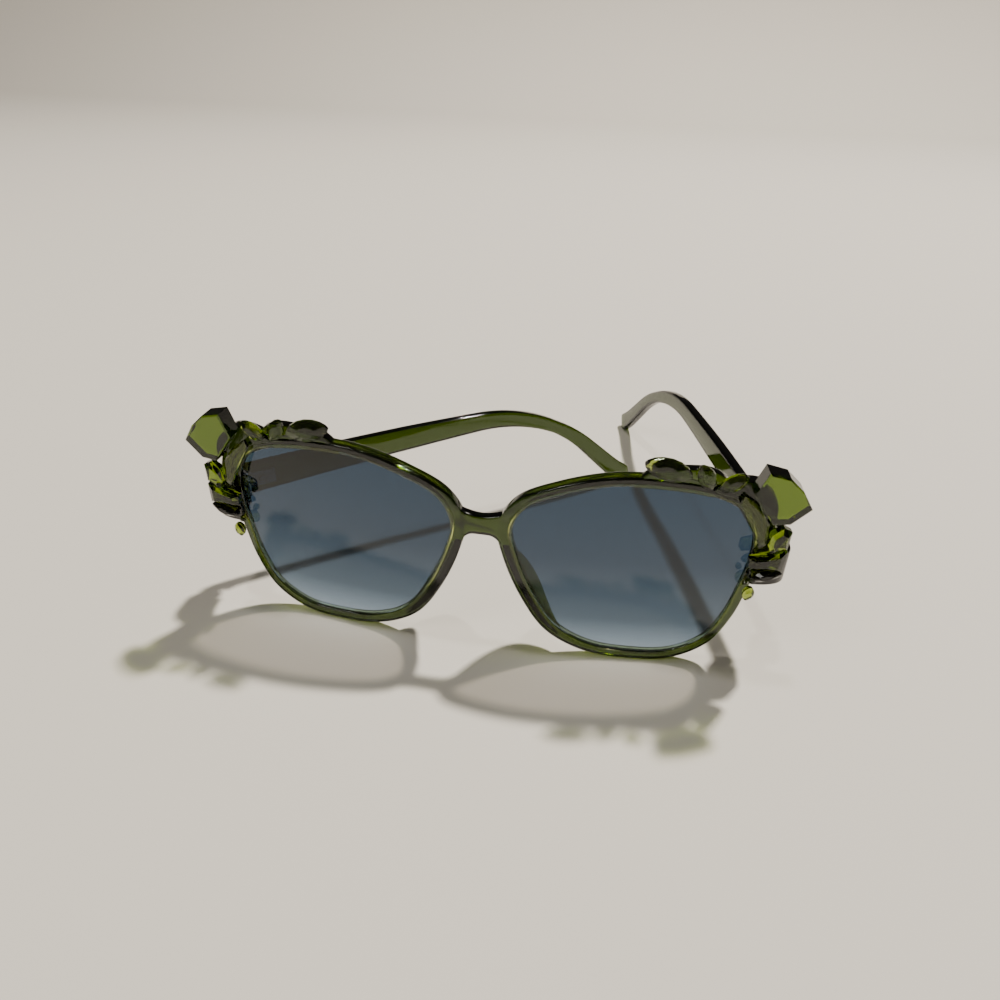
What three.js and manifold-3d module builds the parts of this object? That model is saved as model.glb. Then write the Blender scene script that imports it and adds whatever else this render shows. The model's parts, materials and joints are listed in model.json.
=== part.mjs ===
// Cat-eye sunglasses: a moulded front, two tinted lenses, two folding temples on screwed
// three-knuckle hinges, and a cluster of faceted stones on each upper outer corner.
// Millimetres. X runs across the face, Y from the front towards the wearer, Z up.
// Everything is designed for the right side (+X) and mirrored for the left.

import * as THREE from 'three';
import { mergeVertices } from 'three/addons/utils/BufferGeometryUtils.js';
import Module from 'manifold-3d';

const wasm = await Module();
wasm.setup();

// ---- Driving dimensions ----------------------------------------------------

// Lenses and rims
const LENS_WIDTH = 56.5;
const LENS_HEIGHT = 51;
const LENS_THICKNESS = 1.7;
const LENS_GAP = 15.2; // between the two lens openings, at the bridge
const RIM_WIDTH = 2.7;
const RIM_DEPTH = 2.9;
const LOWER_EXTRA = 0.3; // added rim width along the bottom
const NOSE_EXTRA = 1; // added rim width beside the nose
const GROOVE_DEPTH = 0.9;
const RIM_ROUNDING = 0.6;

// Shape of the front
const FACE_RADIUS = 333; // wrap around the face
const LENS_RADIUS = 1200; // upright curve of the front
const FRONT_TILT = THREE.MathUtils.degToRad(3.1); // top leans forward
const BRIDGE_TOP = 42;
const BRIDGE_HEIGHT = 5.4;
const BRIDGE_RECESS = 0.1;
const PAD_DEPTH = 7.5; // how far the nose pads stand behind the rims
const PAD_SPLAY = 1.6; // how far their edges lean away from the nose
const PAD_THICKNESS = 1.5;
const WING_RISE = 1.2; // how far the stones' mounting wing stands forward of the rim

// Hinges
const HINGE_REACH = 5.4; // from the lens opening to the hinge axis
const HINGE_HEIGHT = 31.6;
const END_PIECE_LENGTH = 8.2; // from the back of the rim to the hinge axis
const KNUCKLE_RADIUS = 1.5;
const KNUCKLE_HEIGHT = 1.9;
const SCREW_RADIUS = 0.6;
const SCREW_HEAD_RADIUS = 1.2;
const SCREW_HEAD_HEIGHT = 0.7;
const LEAF_THICKNESS = 1.2;
const LEAF_LENGTH = 9;
const LEAF_HEIGHT = 4.4;
const ANCHOR_LENGTH = 3.6;
const ANCHOR_THICKNESS = 1.5;
const RIVET_RADIUS = 0.6;
const RIVET_HEAD_RADIUS = 1.1;
const RIVET_HEAD_HEIGHT = 0.5;

// Temples
const TEMPLE_THICKNESS = 3.2;
const TEMPLE_END_HEIGHT = 9.2;
const TEMPLE_MID_HEIGHT = 7.4;
const TEMPLE_BEND_HEIGHT = 4.2;
const TEMPLE_TIP_HEIGHT = 7;
const TEMPLE_TIP_ROUND = 3; // length over which the tip closes
const TEMPLE_TIP_SWEEP = THREE.MathUtils.degToRad(9); // how far the tip turns level again
const TEMPLE_SWEEP_LENGTH = 8;
const TEMPLE_STRAIGHT = 73.9;
const TEMPLE_RISE = THREE.MathUtils.degToRad(1.5);
const TEMPLE_BEND_RADIUS = 58;
const TEMPLE_BEND = THREE.MathUtils.degToRad(45);
const TEMPLE_BOW = 11.4; // inward bow at TEMPLE_BOW_AT behind the hinge
const TEMPLE_BOW_AT = 140;
const FOLD_RIGHT = THREE.MathUtils.degToRad(12.7); // how far each temple stands closed
const FOLD_LEFT = THREE.MathUtils.degToRad(48.4);

// Clearances
const FIT_GAP = 0.3; // between pieces that touch
const LENS_GRIP = GROOVE_DEPTH - FIT_GAP; // how far the lens reaches into its groove

// ---- Outlines ----------------------------------------------------------------

// Right lens opening as shares of its width (from the nose) and height (from the bottom),
// anticlockwise from the temple side.
const LENS_SHAPE = [
  [1.0, 0.6], [0.992, 0.76], [0.935, 0.89], [0.81, 0.965], [0.62, 1.0], [0.4, 0.995],
  [0.2, 0.93], [0.06, 0.845], [0.0, 0.72], [0.025, 0.56], [0.11, 0.32], [0.22, 0.13],
  [0.37, 0.03], [0.56, 0.0], [0.74, 0.015], [0.875, 0.11], [0.945, 0.27], [0.978, 0.43],
];
const LENS_STEPS = 64;

// The wing that carries the stones: across and up from the lens opening's upper outer corner.
const WING_SHAPE = [
  [-12, 1], [-6, 3.4], [-1, 2.8], [2.2, -0.4], [3.4, -6], [4.6, -11], [5, -18.5],
  [2.2, -26], [0.4, -24], [1.6, -14], [-0.5, -6], [-6, -1.6],
];

// The low tab on the brow that carries the leaves, from the same corner.
const TAB_SHAPE = [
  [-29.5, 0], [-25.5, 4.8], [-19, 5.6], [-12.5, 5.2], [-9, 3], [-8, -1], [-14, -1.5],
];
const TAB_RISE = 0.2;

// Cut stones of the right cluster, in millimetres across and up from the same corner.
// "seat" is how far the back stands before the front surface, "thick" the depth, "table" the
// share of the outline left flat on top, "lean" and "turn" its tilt in degrees.
const CUT_STONES = {
  corner: {
    outline: [
      [-1.8, 8.8], [2.9, 7.6], [6.4, 4.3], [9.2, -0.1], [5.4, -4.4], [1.6, -4.8], [-3.8, 2.8],
    ],
    seat: 2.1, thick: 4.6, table: 0.84, lean: 4, turn: 6,
  },
  petal: {
    outline: [
      [-4.8, 0.4], [-1, -2.6], [2, -7], [2.2, -12.6], [0.8, -13.6], [-1.2, -9.2],
      [-4, -4.4], [-5.8, -1.4],
    ],
    seat: 1.8, thick: 1.2, table: 0.8, lean: 0, turn: 6,
  },
  kite: {
    outline: [[7.2, -8], [7, -12.7], [3.6, -14.6], [2.6, -12.4], [2.8, -9.2], [5.2, -7]],
    seat: 1.7, thick: 3.4, table: 0.6, lean: 0, turn: 6,
  },
  trapezoid: {
    outline: [[7.4, -13.7], [7.2, -19.1], [2.8, -18.7], [-0.8, -18.9], [-0.9, -16.2], [3.2, -15.3]],
    seat: 1.7, thick: 3.2, table: 0.66, lean: 0, turn: 6,
  },
};

// Marquise stones: centre across and up from the corner, length, width, and the slope of the
// long axis in degrees. The link and the drop are short, fat ones.
const LEAF_STONES = {
  large_leaf: {
    at: [-22.5, 6.1], length: 11, width: 5.6, slope: -13, seat: 0.6, thick: 2.4, lean: 3, turn: 2,
  },
  small_leaf: {
    at: [-14, 4.6], length: 6.8, width: 4, slope: -62, seat: 0.8, thick: 2, lean: 4, turn: 4,
  },
  medium_leaf: {
    at: [-8, 3.9], length: 6.8, width: 4, slope: 35, seat: 1.7, thick: 2.2, lean: 4, turn: 5,
  },
  marquise: {
    at: [4, -21.3], length: 7.6, width: 3, slope: 17, seat: 1.8, thick: 3, lean: 0, turn: 6,
  },
  link: {
    at: [-0.2, -23.9], length: 1.7, width: 1.6, slope: 60, seat: 1.7, thick: 1.6, lean: 0, turn: 6,
  },
  drop: {
    at: [1.2, -27.4], length: 4, width: 2.8, slope: 80, seat: 1.7, thick: 2.2, lean: 0, turn: 6,
  },
};

// ---- Mesh helpers --------------------------------------------------------------

function signedVolume(points, faces) {
  const cross = new THREE.Vector3();
  let sum = 0;
  for (const [a, b, c] of faces) {
    cross.crossVectors(points[b], points[c]);
    sum += points[a].dot(cross) / 6;
  }
  return sum;
}

// A closed indexed geometry, turned so that its faces point out.
function closedGeometry(points, faces) {
  const outward = signedVolume(points, faces) > 0;
  const index = faces.flatMap(([a, b, c]) => (outward ? [a, b, c] : [a, c, b]));
  const geometry = new THREE.BufferGeometry().setFromPoints(points);
  geometry.setIndex(index);
  return geometry;
}

function centroid(points) {
  const sum = new THREE.Vector3();
  for (const point of points) sum.add(point);
  return sum.divideScalar(points.length);
}

// Skin over rings of equal size. A loop joins the last ring to the first; otherwise both
// ends are capped.
function skin(rings, isLoop) {
  const size = rings[0].length;
  const points = rings.flat();
  const faces = [];
  const spans = isLoop ? rings.length : rings.length - 1;
  for (let i = 0; i < spans; i += 1) {
    const here = i * size;
    const next = ((i + 1) % rings.length) * size;
    for (let j = 0; j < size; j += 1) {
      const k = (j + 1) % size;
      faces.push([here + j, next + j, next + k]);
      faces.push([here + j, next + k, here + k]);
    }
  }
  if (!isLoop) addCaps(rings, points, faces);
  return closedGeometry(points, faces);
}

function addCaps(rings, points, faces) {
  const size = rings[0].length;
  const lastStart = (rings.length - 1) * size;
  points.push(centroid(rings[0]), centroid(rings[rings.length - 1]));
  const first = points.length - 2;
  const last = points.length - 1;
  for (let j = 0; j < size; j += 1) {
    const k = (j + 1) % size;
    faces.push([first, j, k]);
    faces.push([last, lastStart + k, lastStart + j]);
  }
}

function toSolid(geometry) {
  const bare = geometry.clone();
  bare.deleteAttribute('normal');
  bare.deleteAttribute('uv');
  const merged = mergeVertices(bare, 1e-4);
  return new wasm.Manifold(new wasm.Mesh({
    numProp: 3,
    vertProperties: new Float32Array(merged.attributes.position.array),
    triVerts: new Uint32Array(merged.index.array),
  }));
}

function toGeometry(solid) {
  const mesh = solid.getMesh();
  const geometry = new THREE.BufferGeometry();
  geometry.setAttribute('position', new THREE.BufferAttribute(mesh.vertProperties, 3));
  geometry.setIndex(new THREE.BufferAttribute(mesh.triVerts, 1));
  return geometry;
}

function mirrored(geometry) {
  const copy = geometry.clone();
  copy.applyMatrix4(new THREE.Matrix4().makeScale(-1, 1, 1));
  const index = copy.index.array;
  for (let i = 0; i < index.length; i += 3) {
    [index[i + 1], index[i + 2]] = [index[i + 2], index[i + 1]];
  }
  return copy;
}

// A box between two corners.
function block(low, high) {
  const geometry = new THREE.BoxGeometry(high[0] - low[0], high[1] - low[1], high[2] - low[2]);
  geometry.translate((low[0] + high[0]) / 2, (low[1] + high[1]) / 2, (low[2] + high[2]) / 2);
  return geometry;
}

// An upright round bar between two heights.
function post(x, y, radius, bottom, top, sides = 20) {
  const geometry = new THREE.CylinderGeometry(radius, radius, top - bottom, sides);
  geometry.rotateX(Math.PI / 2);
  geometry.translate(x, y, (bottom + top) / 2);
  return geometry;
}

// A round bar along X between two places.
function crossBar(y, z, radius, start, end, sides = 16) {
  const geometry = new THREE.CylinderGeometry(radius, radius, end - start, sides);
  geometry.rotateZ(Math.PI / 2);
  geometry.translate((start + end) / 2, y, z);
  return geometry;
}

// ---- The front's surface ---------------------------------------------------------

const lensBottom = RIM_WIDTH + LOWER_EXTRA;
const frontHeight = LENS_HEIGHT + lensBottom + RIM_WIDTH;

// From flat coordinates (across, behind the front surface, up) to the curved, tilted front.
function frontPoint(across, depth, up) {
  const rise = up - frontHeight / 2;
  const sag = across ** 2 / (2 * FACE_RADIUS) + rise ** 2 / (2 * LENS_RADIUS);
  const y = sag + depth * Math.cos(FRONT_TILT) - up * Math.sin(FRONT_TILT);
  const z = up * Math.cos(FRONT_TILT) + depth * Math.sin(FRONT_TILT);
  return new THREE.Vector3(across, y, z);
}

// Bends a flat geometry (X across, Y up, Z forward of the front surface) onto the front.
function ontoFront(geometry) {
  const position = geometry.attributes.position;
  for (let i = 0; i < position.count; i += 1) {
    const bent = frontPoint(position.getX(i), -position.getZ(i), position.getY(i));
    position.setXYZ(i, bent.x, bent.y, bent.z);
  }
  return geometry;
}

// A plate on the front, cut to a flat shape, between two depths.
function frontPlate(shape, nearDepth, farDepth) {
  const geometry = new THREE.ExtrudeGeometry(shape, {
    depth: farDepth - nearDepth, bevelEnabled: false, curveSegments: 6,
  });
  geometry.translate(0, 0, -farDepth);
  return ontoFront(geometry);
}

// ---- Lens opening -----------------------------------------------------------------

// Points round the right lens opening, each with its outward direction.
function lensOutline(steps) {
  const corners = LENS_SHAPE.map(([across, up]) => new THREE.Vector3(
    LENS_GAP / 2 + across * LENS_WIDTH,
    0,
    lensBottom + up * LENS_HEIGHT,
  ));
  const curve = new THREE.CatmullRomCurve3(corners, true, 'centripetal');
  const points = curve.getSpacedPoints(steps).slice(0, steps);
  return points.map((point, i) => {
    const before = points[(i + steps - 1) % steps];
    const after = points[(i + 1) % steps];
    const tangent = after.clone().sub(before).normalize();
    return { x: point.x, z: point.z, outX: tangent.z, outZ: -tangent.x };
  });
}

function rimWidthAt({ outX, outZ }) {
  const lower = LOWER_EXTRA * Math.max(0, -outZ) ** 2;
  const nose = NOSE_EXTRA * Math.max(0, -outX) ** 2;
  return RIM_WIDTH + lower + nose;
}

const grooveFront = (RIM_DEPTH - LENS_THICKNESS) / 2 - FIT_GAP;
const grooveBack = RIM_DEPTH - grooveFront;

// Section of the rim as [distance out, depth], with the lens groove on its inner side.
function rimSection(width) {
  const round = RIM_ROUNDING;
  const ease = 0.25 * round;
  const back = RIM_DEPTH;
  return [
    [0, 0.3], [0.3, 0], [width - round, 0], [width - ease, ease], [width, round],
    [width, back - round], [width - ease, back - ease], [width - round, back],
    [0.3, back], [0, back - 0.3],
    [0, grooveBack], [GROOVE_DEPTH, grooveBack], [GROOVE_DEPTH, grooveFront], [0, grooveFront],
  ];
}

function rimGeometry() {
  const rings = lensOutline(LENS_STEPS).map((spot) => (
    rimSection(rimWidthAt(spot)).map(([out, depth]) => (
      frontPoint(spot.x + out * spot.outX, depth, spot.z + out * spot.outZ)
    ))
  ));
  return skin(rings, true);
}

// ---- Lenses -----------------------------------------------------------------------

function lensGeometry() {
  const rim = lensOutline(LENS_STEPS).map(({ x, z, outX, outZ }) => (
    new THREE.Vector3(x + LENS_GRIP * outX, 0, z + LENS_GRIP * outZ)
  ));
  const middle = centroid(rim);
  const near = (RIM_DEPTH - LENS_THICKNESS) / 2;
  const far = near + LENS_THICKNESS;
  const ring = (share, depth) => rim.map((point) => {
    const spot = middle.clone().lerp(point, share);
    return frontPoint(spot.x, depth, spot.z);
  });
  const shares = [0.35, 0.7, 1];
  const front = shares.map((share) => ring(share, near));
  const back = shares.map((share) => ring(share, far)).reverse();
  return skin([...front, ...back], false);
}

// ---- Front moulding ----------------------------------------------------------------

function bridgeGeometry() {
  const bottom = BRIDGE_TOP - BRIDGE_HEIGHT;
  const half = LENS_GAP / 2;
  const gap = half - RIM_WIDTH - NOSE_EXTRA;
  const shape = new THREE.Shape();
  shape.moveTo(half + 1.6, BRIDGE_TOP + 3.4);
  shape.quadraticCurveTo(gap, BRIDGE_TOP, 0, BRIDGE_TOP);
  shape.quadraticCurveTo(-gap, BRIDGE_TOP, -half - 1.6, BRIDGE_TOP + 3.4);
  shape.lineTo(-half - 0.4, bottom + 1);
  shape.lineTo(-gap - 1.2, bottom - 3);
  shape.quadraticCurveTo(-gap + 0.2, bottom, -gap + 2.2, bottom);
  shape.lineTo(gap - 2.2, bottom);
  shape.quadraticCurveTo(gap - 0.2, bottom, gap + 1.2, bottom - 3);
  shape.lineTo(half + 0.4, bottom + 1);
  shape.closePath();
  return frontPlate(shape, BRIDGE_RECESS, RIM_DEPTH - BRIDGE_RECESS);
}

// A fin behind the nose side of the rim, deepest in its middle.
function nosePadGeometry() {
  const outline = lensOutline(LENS_STEPS);
  const spots = outline.filter(({ outX, z }) => outX < -0.55 && z < BRIDGE_TOP - 7);
  const root = RIM_DEPTH - 0.6;
  const rings = spots.map((spot, i) => {
    const swell = Math.sin((Math.PI * i) / (spots.length - 1)) ** 0.8;
    const stand = PAD_DEPTH * swell + 0.3;
    const start = rimWidthAt(spot) - PAD_THICKNESS - 0.3;
    const splay = PAD_SPLAY * swell;
    const place = (out, depth) => frontPoint(spot.x + out * spot.outX, depth, spot.z + out * spot.outZ);
    return [
      place(start, root),
      place(start + PAD_THICKNESS, root),
      place(start + PAD_THICKNESS - splay, root + stand),
      place(start + 0.3 - splay, root + stand),
    ];
  });
  return skin(rings, false);
}

const corner = { x: LENS_GAP / 2 + LENS_WIDTH, z: lensBottom + LENS_HEIGHT };

function carrierGeometry(outline, rise) {
  const points = outline.map(([x, z]) => new THREE.Vector2(corner.x + x, corner.z + z));
  return frontPlate(new THREE.Shape(points), -rise, RIM_DEPTH - 0.5);
}

// ---- Hinges ------------------------------------------------------------------------

const hingeX = corner.x + HINGE_REACH;
const hingeY = frontPoint(hingeX, RIM_DEPTH, HINGE_HEIGHT).y + END_PIECE_LENGTH;
const seatY = hingeY - KNUCKLE_RADIUS - FIT_GAP; // face of the end-piece behind the knuckles
const buttY = hingeY - FIT_GAP / 2; // face of the end-piece that the open temple meets
const templeInner = KNUCKLE_RADIUS + FIT_GAP; // from the hinge axis to the temple's inner face
const templeMiddle = templeInner + TEMPLE_THICKNESS / 2;
const knuckleStep = KNUCKLE_HEIGHT + FIT_GAP;
const barrelHalf = 1.5 * KNUCKLE_HEIGHT + FIT_GAP;
const boreRadius = SCREW_RADIUS + FIT_GAP;

function endPieceGeometry() {
  const outer = hingeX + templeInner + TEMPLE_THICKNESS;
  const inner = hingeX - KNUCKLE_RADIUS - 0.6;
  const rootOut = corner.x + RIM_WIDTH - 0.5;
  const rootFront = frontPoint(rootOut, 0.3, HINGE_HEIGHT).y;
  const rootBack = frontPoint(corner.x + 1.2, RIM_DEPTH - 0.4, HINGE_HEIGHT).y;
  const shape = new THREE.Shape();
  shape.moveTo(rootOut, rootFront);
  shape.quadraticCurveTo(outer, rootFront + 0.6, outer, (rootFront + buttY) / 2);
  shape.lineTo(outer, buttY);
  shape.lineTo(hingeX + templeInner, buttY);
  shape.lineTo(hingeX + templeInner, seatY);
  shape.lineTo(inner, seatY);
  shape.quadraticCurveTo(inner, rootBack + 1.5, corner.x + 1.2, rootBack);
  shape.closePath();
  const geometry = new THREE.ExtrudeGeometry(shape, {
    depth: TEMPLE_END_HEIGHT, bevelEnabled: false, curveSegments: 6,
  });
  geometry.translate(0, 0, HINGE_HEIGHT - TEMPLE_END_HEIGHT / 2);
  return geometry;
}

function anchorPocket() {
  const side = ANCHOR_THICKNESS / 2 + FIT_GAP;
  const half = barrelHalf + FIT_GAP;
  return block(
    [hingeX - side, seatY - ANCHOR_LENGTH - FIT_GAP, HINGE_HEIGHT - half],
    [hingeX + side, seatY + 1, HINGE_HEIGHT + half],
  );
}

function frontMoulding() {
  const carriers = [carrierGeometry(WING_SHAPE, WING_RISE), carrierGeometry(TAB_SHAPE, TAB_RISE)];
  const pieces = [rimGeometry(), nosePadGeometry(), endPieceGeometry(), ...carriers];
  const right = wasm.Manifold.union(pieces.map(toSolid));
  const cuts = [lensClearance(), toSolid(anchorPocket())];
  const left = toSolid(mirrored(toGeometry(right)));
  const mirroredCuts = cuts.map((cut) => toSolid(mirrored(toGeometry(cut))));
  const joined = wasm.Manifold.union([right, left, toSolid(bridgeGeometry())]);
  return toGeometry(joined.subtract(wasm.Manifold.union([...cuts, ...mirroredCuts])));
}

// The space the lens and its groove take, cut again after the bridge side is joined on.
function lensClearance() {
  const spots = lensOutline(LENS_STEPS);
  const ring = (out, depth) => spots.map(({ x, z, outX, outZ }) => (
    frontPoint(x + out * outX, depth, z + out * outZ)
  ));
  const rings = [
    ring(0, -WING_RISE - 1), ring(0, grooveFront), ring(GROOVE_DEPTH, grooveFront),
    ring(GROOVE_DEPTH, grooveBack), ring(0, grooveBack), ring(0, RIM_DEPTH + 0.5),
  ];
  return toSolid(skin(rings, false));
}

// Both pieces of the hinge are drawn about the hinge axis, with the temple fully open.
function frontLeafGeometry() {
  const side = ANCHOR_THICKNESS / 2;
  const seat = seatY - hingeY;
  let leaf = toSolid(block([-side, seat - ANCHOR_LENGTH, -barrelHalf], [side, seat, barrelHalf]));
  for (const level of [-knuckleStep, knuckleStep]) {
    const low = level - KNUCKLE_HEIGHT / 2;
    const high = level + KNUCKLE_HEIGHT / 2;
    leaf = leaf.add(toSolid(post(0, 0, KNUCKLE_RADIUS, low, high)));
    leaf = leaf.add(toSolid(block([-side, seat - 0.5, low], [side, 0, high])));
  }
  return toGeometry(leaf.subtract(toSolid(post(0, 0, boreRadius, -barrelHalf - 1, barrelHalf + 1))));
}

function templeLeafGeometry() {
  const half = KNUCKLE_HEIGHT / 2;
  const outer = templeInner + LEAF_THICKNESS;
  const armBack = KNUCKLE_RADIUS + 0.4;
  let leaf = toSolid(post(0, 0, KNUCKLE_RADIUS, -half, half));
  leaf = leaf.add(toSolid(block([0, 0.5, -half], [outer, armBack, half])));
  const plate = block(
    [templeInner, 0.5, -LEAF_HEIGHT / 2],
    [outer, LEAF_LENGTH, LEAF_HEIGHT / 2],
  );
  leaf = leaf.add(toSolid(plate));
  leaf = leaf.subtract(toSolid(post(0, 0, boreRadius, -half - 1, half + 1)));
  const rivetHole = crossBar(rivetY, 0, RIVET_RADIUS + FIT_GAP, templeInner - 1, outer + 1);
  return toGeometry(leaf.subtract(toSolid(rivetHole)));
}

const rivetY = LEAF_LENGTH * 0.6;
const rivetEnd = templeInner + TEMPLE_THICKNESS - 0.8;

function rivetGeometry() {
  const headOuter = templeInner - FIT_GAP;
  const shank = crossBar(rivetY, 0, RIVET_RADIUS, headOuter - 0.1, rivetEnd);
  const head = crossBar(rivetY, 0, RIVET_HEAD_RADIUS, headOuter - RIVET_HEAD_HEIGHT, headOuter);
  return toGeometry(toSolid(shank).add(toSolid(head)));
}

function screwGeometry() {
  const top = barrelHalf + FIT_GAP;
  const shank = post(0, 0, SCREW_RADIUS, -barrelHalf, top + 0.1);
  const head = post(0, 0, SCREW_HEAD_RADIUS, top, top + SCREW_HEAD_HEIGHT);
  const slot = block([-2, -0.15, top + SCREW_HEAD_HEIGHT - 0.3], [2, 0.15, top + 2]);
  return toGeometry(toSolid(shank).add(toSolid(head)).subtract(toSolid(slot)));
}

// ---- Temples ------------------------------------------------------------------------

// Rise of the centreline where the bend ends, from the hinge.
function heightAfterBend() {
  const straightRise = TEMPLE_STRAIGHT * Math.sin(TEMPLE_RISE);
  const heading = TEMPLE_RISE - TEMPLE_BEND;
  return straightRise + TEMPLE_BEND_RADIUS * (Math.cos(heading) - Math.cos(TEMPLE_RISE));
}

// The straight tail is as long as it takes for the swept tip to reach the table.
function tailLength() {
  const heading = TEMPLE_BEND - TEMPLE_RISE;
  const tipReach = (TEMPLE_TIP_HEIGHT / 2) * Math.cos(heading - TEMPLE_TIP_SWEEP);
  const sweepDrop = TEMPLE_SWEEP_LENGTH * Math.sin(heading - TEMPLE_TIP_SWEEP / 2);
  return (HINGE_HEIGHT + heightAfterBend() - tipReach - sweepDrop) / Math.sin(heading);
}

// Stations along the centreline: distance back, height, heading, and the size of the section
// there as a share of the full one. Only the last three, over the rounded tip, are smaller.
function templeStations() {
  const stations = [];
  const here = { along: 0, back: 0, height: 0 };
  const advance = (length, steps, headingAt, shares = []) => {
    const step = length / steps;
    for (let i = 0; i < steps; i += 1) {
      const heading = headingAt((i + 0.5) / steps);
      here.along += step;
      here.back += step * Math.cos(heading);
      here.height += step * Math.sin(heading);
      stations.push({ ...here, heading: headingAt((i + 1) / steps), share: shares[i] ?? 1 });
    }
  };
  stations.push({ ...here, heading: 0, share: 1 });
  const endHeading = TEMPLE_RISE - TEMPLE_BEND;
  advance(TEMPLE_STRAIGHT, 10, () => TEMPLE_RISE);
  advance(TEMPLE_BEND_RADIUS * TEMPLE_BEND, 10, (t) => TEMPLE_RISE - t * TEMPLE_BEND);
  const tipHeading = endHeading + TEMPLE_TIP_SWEEP;
  advance(tailLength(), 4, () => endHeading);
  advance(TEMPLE_SWEEP_LENGTH, 4, (t) => endHeading + t * TEMPLE_TIP_SWEEP);
  advance(TEMPLE_TIP_ROUND, 3, () => tipHeading, [0.8, 0.62, 0.38]);
  return stations;
}

function templeHeightAt(share) {
  const { lerp } = THREE.MathUtils;
  if (share < 0.35) return lerp(TEMPLE_END_HEIGHT, TEMPLE_MID_HEIGHT, share / 0.35);
  if (share < 0.72) return lerp(TEMPLE_MID_HEIGHT, TEMPLE_BEND_HEIGHT, (share - 0.35) / 0.37);
  return lerp(TEMPLE_BEND_HEIGHT, TEMPLE_TIP_HEIGHT, (share - 0.72) / 0.28);
}

// Octagonal section with rounded-off corners: [across, up].
function templeSection(thickness, height) {
  const x = thickness / 2;
  const z = height / 2;
  const cut = Math.min(0.9, x * 0.6);
  return [
    [x, -z + cut], [x, z - cut], [x - cut, z], [-x + cut, z],
    [-x, z - cut], [-x, -z + cut], [-x + cut, -z], [x - cut, -z],
  ];
}

function templeGeometry() {
  const stations = templeStations();
  const total = stations[stations.length - 1].along;
  const rings = stations.map(({ along, back, height, heading, share }) => {
    const tall = templeHeightAt(along / total) * share;
    const inward = TEMPLE_BOW * (back / TEMPLE_BOW_AT) ** 2;
    return templeSection(TEMPLE_THICKNESS * share, tall).map(([across, up]) => (
      new THREE.Vector3(
        templeMiddle - inward + across,
        FIT_GAP / 2 + back - up * Math.sin(heading),
        height + up * Math.cos(heading),
      )
    ));
  });
  return skin(rings, false);
}

function templeWithPocket() {
  const leafHalf = LEAF_HEIGHT / 2 + FIT_GAP;
  const pocketWall = templeInner + LEAF_THICKNESS + FIT_GAP;
  const pocket = block([templeInner - 2, -1, -leafHalf], [pocketWall, LEAF_LENGTH + FIT_GAP, leafHalf]);
  const hole = crossBar(rivetY, 0, RIVET_RADIUS + FIT_GAP, templeInner - 1, rivetEnd + FIT_GAP);
  return toGeometry(toSolid(templeGeometry()).subtract(toSolid(pocket)).subtract(toSolid(hole)));
}

// ---- Stones --------------------------------------------------------------------------

// A faceted stone over a flat outline [x, z], its back at +Y and its table at -Y.
function stoneGeometry(outline, thick, table) {
  const points = outline.map(([x, z]) => new THREE.Vector3(x, 0, z));
  const middle = centroid(points);
  const ring = (share, y) => points.map((point) => (
    new THREE.Vector3(
      (point.x - middle.x) * share,
      y,
      (point.z - middle.z) * share,
    )
  ));
  const rings = [
    ring(0.8, thick / 2), ring(1, thick / 4), ring(1, -thick / 4), ring(table, -thick / 2),
  ];
  return { geometry: skin(rings, false), middle };
}

// Two arcs that meet in points, round the origin.
function marquiseOutline(length, width, slope) {
  const spin = THREE.MathUtils.degToRad(slope);
  const sides = 6;
  const outline = [];
  for (let i = 0; i < 2 * sides; i += 1) {
    const t = (Math.PI * i) / sides;
    const x = (length / 2) * Math.cos(t);
    const z = (width / 2) * Math.sin(t) * Math.abs(Math.sin(t)) ** 0.3;
    outline.push([x * Math.cos(spin) - z * Math.sin(spin), x * Math.sin(spin) + z * Math.cos(spin)]);
  }
  return outline;
}

// ---- Materials --------------------------------------------------------------------------

const material = (color, roughness, metalness, opacity = 1) => () => (
  new THREE.MeshStandardMaterial({ color, roughness, metalness, opacity, transparent: opacity < 1 })
);
const greenPlastic = material(0x4f5f1c, 0.18, 0, 0.9);
const stoneResin = material(0x7c8a35, 0.12, 0, 0.85);
const leafResin = material(0x4e5a1c, 0.12, 0, 0.9);
const darkStone = material(0x2a3010, 0.12, 0, 0.95);
const stoneMaterials = {
  large_leaf: leafResin, small_leaf: leafResin, marquise: darkStone, link: darkStone,
};
const lensTint = material(0x4c5d6e, 0.05, 0, 0.6);
const hingeSteel = material(0xb9b6ae, 0.3, 1);

// ---- Assembly ---------------------------------------------------------------------------

const glasses = new THREE.Group();
const temples = { right: new THREE.Group(), left: new THREE.Group() };

function addMesh(parent, name, geometry, makeMaterial, place, turn) {
  geometry.computeVertexNormals();
  const mesh = new THREE.Mesh(geometry, makeMaterial());
  mesh.name = name;
  if (place) mesh.position.copy(place);
  if (turn) mesh.rotation.copy(turn);
  parent.add(mesh);
}

// The same piece on both sides: the left one is mirrored, and so are its place and turn.
function addPair(name, geometry, makeMaterial, place, turn = new THREE.Euler()) {
  const leftPlace = new THREE.Vector3(-place.x, place.y, place.z);
  const leftTurn = new THREE.Euler(turn.x, -turn.y, -turn.z);
  addMesh(glasses, `${name}_right`, geometry, makeMaterial, place, turn);
  addMesh(glasses, `${name}_left`, mirrored(geometry), makeMaterial, leftPlace, leftTurn);
}

function addTemplePair(name, geometry, makeMaterial) {
  addMesh(temples.right, `${name}_right`, geometry, makeMaterial);
  addMesh(temples.left, `${name}_left`, mirrored(geometry), makeMaterial);
}

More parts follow.
